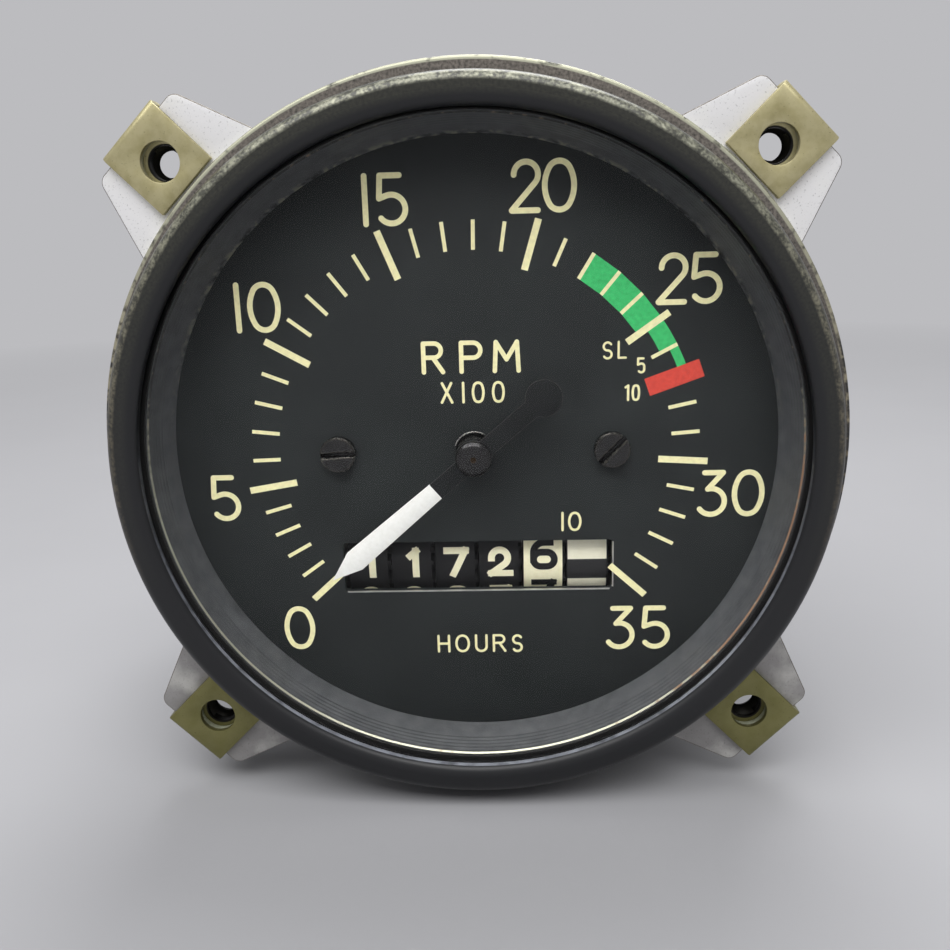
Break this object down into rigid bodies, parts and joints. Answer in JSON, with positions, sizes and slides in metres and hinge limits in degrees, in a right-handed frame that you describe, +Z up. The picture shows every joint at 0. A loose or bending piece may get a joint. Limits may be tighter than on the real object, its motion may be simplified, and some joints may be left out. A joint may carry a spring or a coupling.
{
  "type": "aircraft tachometer",
  "caption": "Round panel tachometer with a sweeping pointer, a drum hour meter behind a dial window, four ears with clip nuts and a threaded rear stem for a drive cable.",
  "frame": {"origin": "centre of the four mounting holes, in the plane of the clip nut faces that seat on the panel's back", "axes": "+X to the right of a person reading the dial, +Y into the panel along the drive shaft, +Z up"},
  "size_m": [0.0814, 0.0738, 0.0814],
  "materials": {
    "black_enamel": "semi-gloss black enamel, worn bright on its edges",
    "black_case": "crackle black paint",
    "glass": "clear flat glass",
    "gasket": "black rubber",
    "grey_paint": "matt dark grey paint over turned metal",
    "zinc": "dull zinc plate",
    "clip_brass": "olive gold plate on spring steel",
    "dial_black": "matt black paint with printed scale",
    "black_screw": "black oxide",
    "pointer_white": "matt white paint, black towards the hub",
    "pointer_black": "black paint",
    "spring_bronze": "rolled bronze",
    "jewel": "polished red jewel",
    "cup_aluminium": "spun",
    "soft_iron": "turned soft iron",
    "magnet_steel": "cast magnet alloy",
    "stem_metal": "plated, threaded",
    "drum_white": "white with black figures",
    "drum_striped": "black and white stripes",
    "drum_black": "black with cream figures",
    "pinion_grey": "moulded",
    "tin_plate": "bright tin plate",
    "screw_steel": "plated steel",
    "brass": "machined brass",
    "steel": "ground steel"
  },
  "bodies": {
    "housing": {"bezel": "black_enamel", "cover_glass": "glass", "glass_gasket": "gasket", "spacer_ring": "grey_paint", "mounting_plate": "zinc", "clip_nuts": "clip_brass", "case": "black_case", "bezel_screws": "screw_steel", "dial": "dial_black", "dial_screws": "black_screw", "dial_posts": "brass", "staff_bridge": "brass", "bridge_posts": "brass", "staff_bearing": "jewel", "hairspring": "spring_bronze", "hairspring_stud": "steel", "field_cup": "soft_iron", "mid_plate_screws": "screw_steel", "front_bush": "brass", "rear_bush": "brass", "cross_shaft_brackets": "brass", "lay_shaft_bushes": "brass", "counter_frame": "tin_plate", "counter_screws": "screw_steel", "counter_axle": "steel", "pinion_shaft": "steel", "mid_plate": "brass", "rear_plate": "brass", "pillars": "brass", "case_screws": "screw_steel", "drive_stem": "stem_metal", "stem_screws": "screw_steel"},
    "pointer": {"pointer": "pointer_white", "pointer_hub": "pointer_black", "pointer_staff": "steel", "hairspring_collet": "brass", "drag_cup": "cup_aluminium"},
    "drive": {"drive_shaft": "steel", "drive_magnet": "magnet_steel", "first_worm": "steel", "drive_coupling": "steel"},
    "cross_shaft": {"cross_shaft": "steel", "first_worm_wheel": "brass", "second_worm": "steel"},
    "lay_shaft": {"lay_shaft": "steel", "second_worm_wheel": "brass", "third_worm": "steel"},
    "running_drum": {"running_drum": "drum_striped", "counter_wheel": "brass"},
    "tenths_drum": {"tenths_drum": "drum_white"},
    "number_drum_1": {"number_drum_1": "drum_black"},
    "number_drum_2": {"number_drum_2": "drum_black"},
    "number_drum_3": {"number_drum_3": "drum_black"},
    "number_drum_4": {"number_drum_4": "drum_black"},
    "transfer_pinion_1": {"transfer_pinion_1": "pinion_grey"},
    "transfer_pinion_2": {"transfer_pinion_2": "pinion_grey"},
    "transfer_pinion_3": {"transfer_pinion_3": "pinion_grey"},
    "transfer_pinion_4": {"transfer_pinion_4": "pinion_grey"},
    "transfer_pinion_5": {"transfer_pinion_5": "pinion_grey"}
  },
  "joints": [
    {"name": "pointer_swing", "type": "hinge", "parent": "housing", "child": "pointer", "pos_m": [0, 0, 0], "axis": [0, 1, 0], "range_deg": [0, 264.4], "stiffness_Nm_per_rad": 0.0001, "springref_deg": -17.19, "deforming": ["hairspring"]},
    {"name": "drive_spin", "type": "hinge", "parent": "housing", "child": "drive", "pos_m": [0, 0.04214, 0], "axis": [0, 1, 0], "continuous": true},
    {"name": "cross_spin", "type": "hinge", "parent": "housing", "child": "cross_shaft", "pos_m": [0, 0.04214, -0.0101], "axis": [1, 0, 0], "continuous": true},
    {"name": "lay_spin", "type": "hinge", "parent": "housing", "child": "lay_shaft", "pos_m": [0.0178, 0.04214, -0.02005], "axis": [0, 1, 0], "continuous": true},
    {"name": "running_drum_spin", "type": "hinge", "parent": "housing", "child": "running_drum", "pos_m": [0, 0.0113, -0.0136], "axis": [1, 0, 0], "continuous": true},
    {"name": "number_drum_1_spin", "type": "hinge", "parent": "housing", "child": "number_drum_1", "pos_m": [0, 0.0113, -0.0136], "axis": [1, 0, 0], "continuous": true},
    {"name": "transfer_pinion_1_spin", "type": "hinge", "parent": "housing", "child": "transfer_pinion_1", "pos_m": [0, 0.0113, -0.02416], "axis": [1, 0, 0], "continuous": true},
    {"name": "number_drum_2_spin", "type": "hinge", "parent": "housing", "child": "number_drum_2", "pos_m": [0, 0.0113, -0.0136], "axis": [1, 0, 0], "continuous": true},
    {"name": "transfer_pinion_2_spin", "type": "hinge", "parent": "housing", "child": "transfer_pinion_2", "pos_m": [0, 0.0113, -0.02416], "axis": [1, 0, 0], "continuous": true},
    {"name": "number_drum_3_spin", "type": "hinge", "parent": "housing", "child": "number_drum_3", "pos_m": [0, 0.0113, -0.0136], "axis": [1, 0, 0], "continuous": true},
    {"name": "transfer_pinion_3_spin", "type": "hinge", "parent": "housing", "child": "transfer_pinion_3", "pos_m": [0, 0.0113, -0.02416], "axis": [1, 0, 0], "continuous": true},
    {"name": "number_drum_4_spin", "type": "hinge", "parent": "housing", "child": "number_drum_4", "pos_m": [0, 0.0113, -0.0136], "axis": [1, 0, 0], "continuous": true},
    {"name": "transfer_pinion_4_spin", "type": "hinge", "parent": "housing", "child": "transfer_pinion_4", "pos_m": [0, 0.0113, -0.02416], "axis": [1, 0, 0], "continuous": true},
    {"name": "tenths_drum_spin", "type": "hinge", "parent": "housing", "child": "tenths_drum", "pos_m": [0, 0.0113, -0.0136], "axis": [1, 0, 0], "continuous": true},
    {"name": "transfer_pinion_5_spin", "type": "hinge", "parent": "housing", "child": "transfer_pinion_5", "pos_m": [0, 0.0113, -0.02416], "axis": [1, 0, 0], "continuous": true}
  ],
  "couplings": [
    {"joint": "cross_spin", "follows": "drive_spin", "ratio": 0.05},
    {"joint": "lay_spin", "follows": "drive_spin", "ratio": -0.0025},
    {"joint": "running_drum_spin", "follows": "drive_spin", "ratio": -0.00014706},
    {"joint": "number_drum_1_spin", "follows": "drive_spin", "ratio": -0.0000000014706},
    {"joint": "transfer_pinion_1_spin", "follows": "drive_spin", "ratio": 0.0000000036765},
    {"joint": "number_drum_2_spin", "follows": "drive_spin", "ratio": -0.000000014706},
    {"joint": "transfer_pinion_2_spin", "follows": "drive_spin", "ratio": 0.000000036765},
    {"joint": "number_drum_3_spin", "follows": "drive_spin", "ratio": -0.00000014706},
    {"joint": "transfer_pinion_3_spin", "follows": "drive_spin", "ratio": 0.00000036765},
    {"joint": "number_drum_4_spin", "follows": "drive_spin", "ratio": -0.0000014706},
    {"joint": "transfer_pinion_4_spin", "follows": "drive_spin", "ratio": 0.0000036765},
    {"joint": "tenths_drum_spin", "follows": "drive_spin", "ratio": -0.000014706},
    {"joint": "transfer_pinion_5_spin", "follows": "drive_spin", "ratio": 0.000036765}
  ]
}
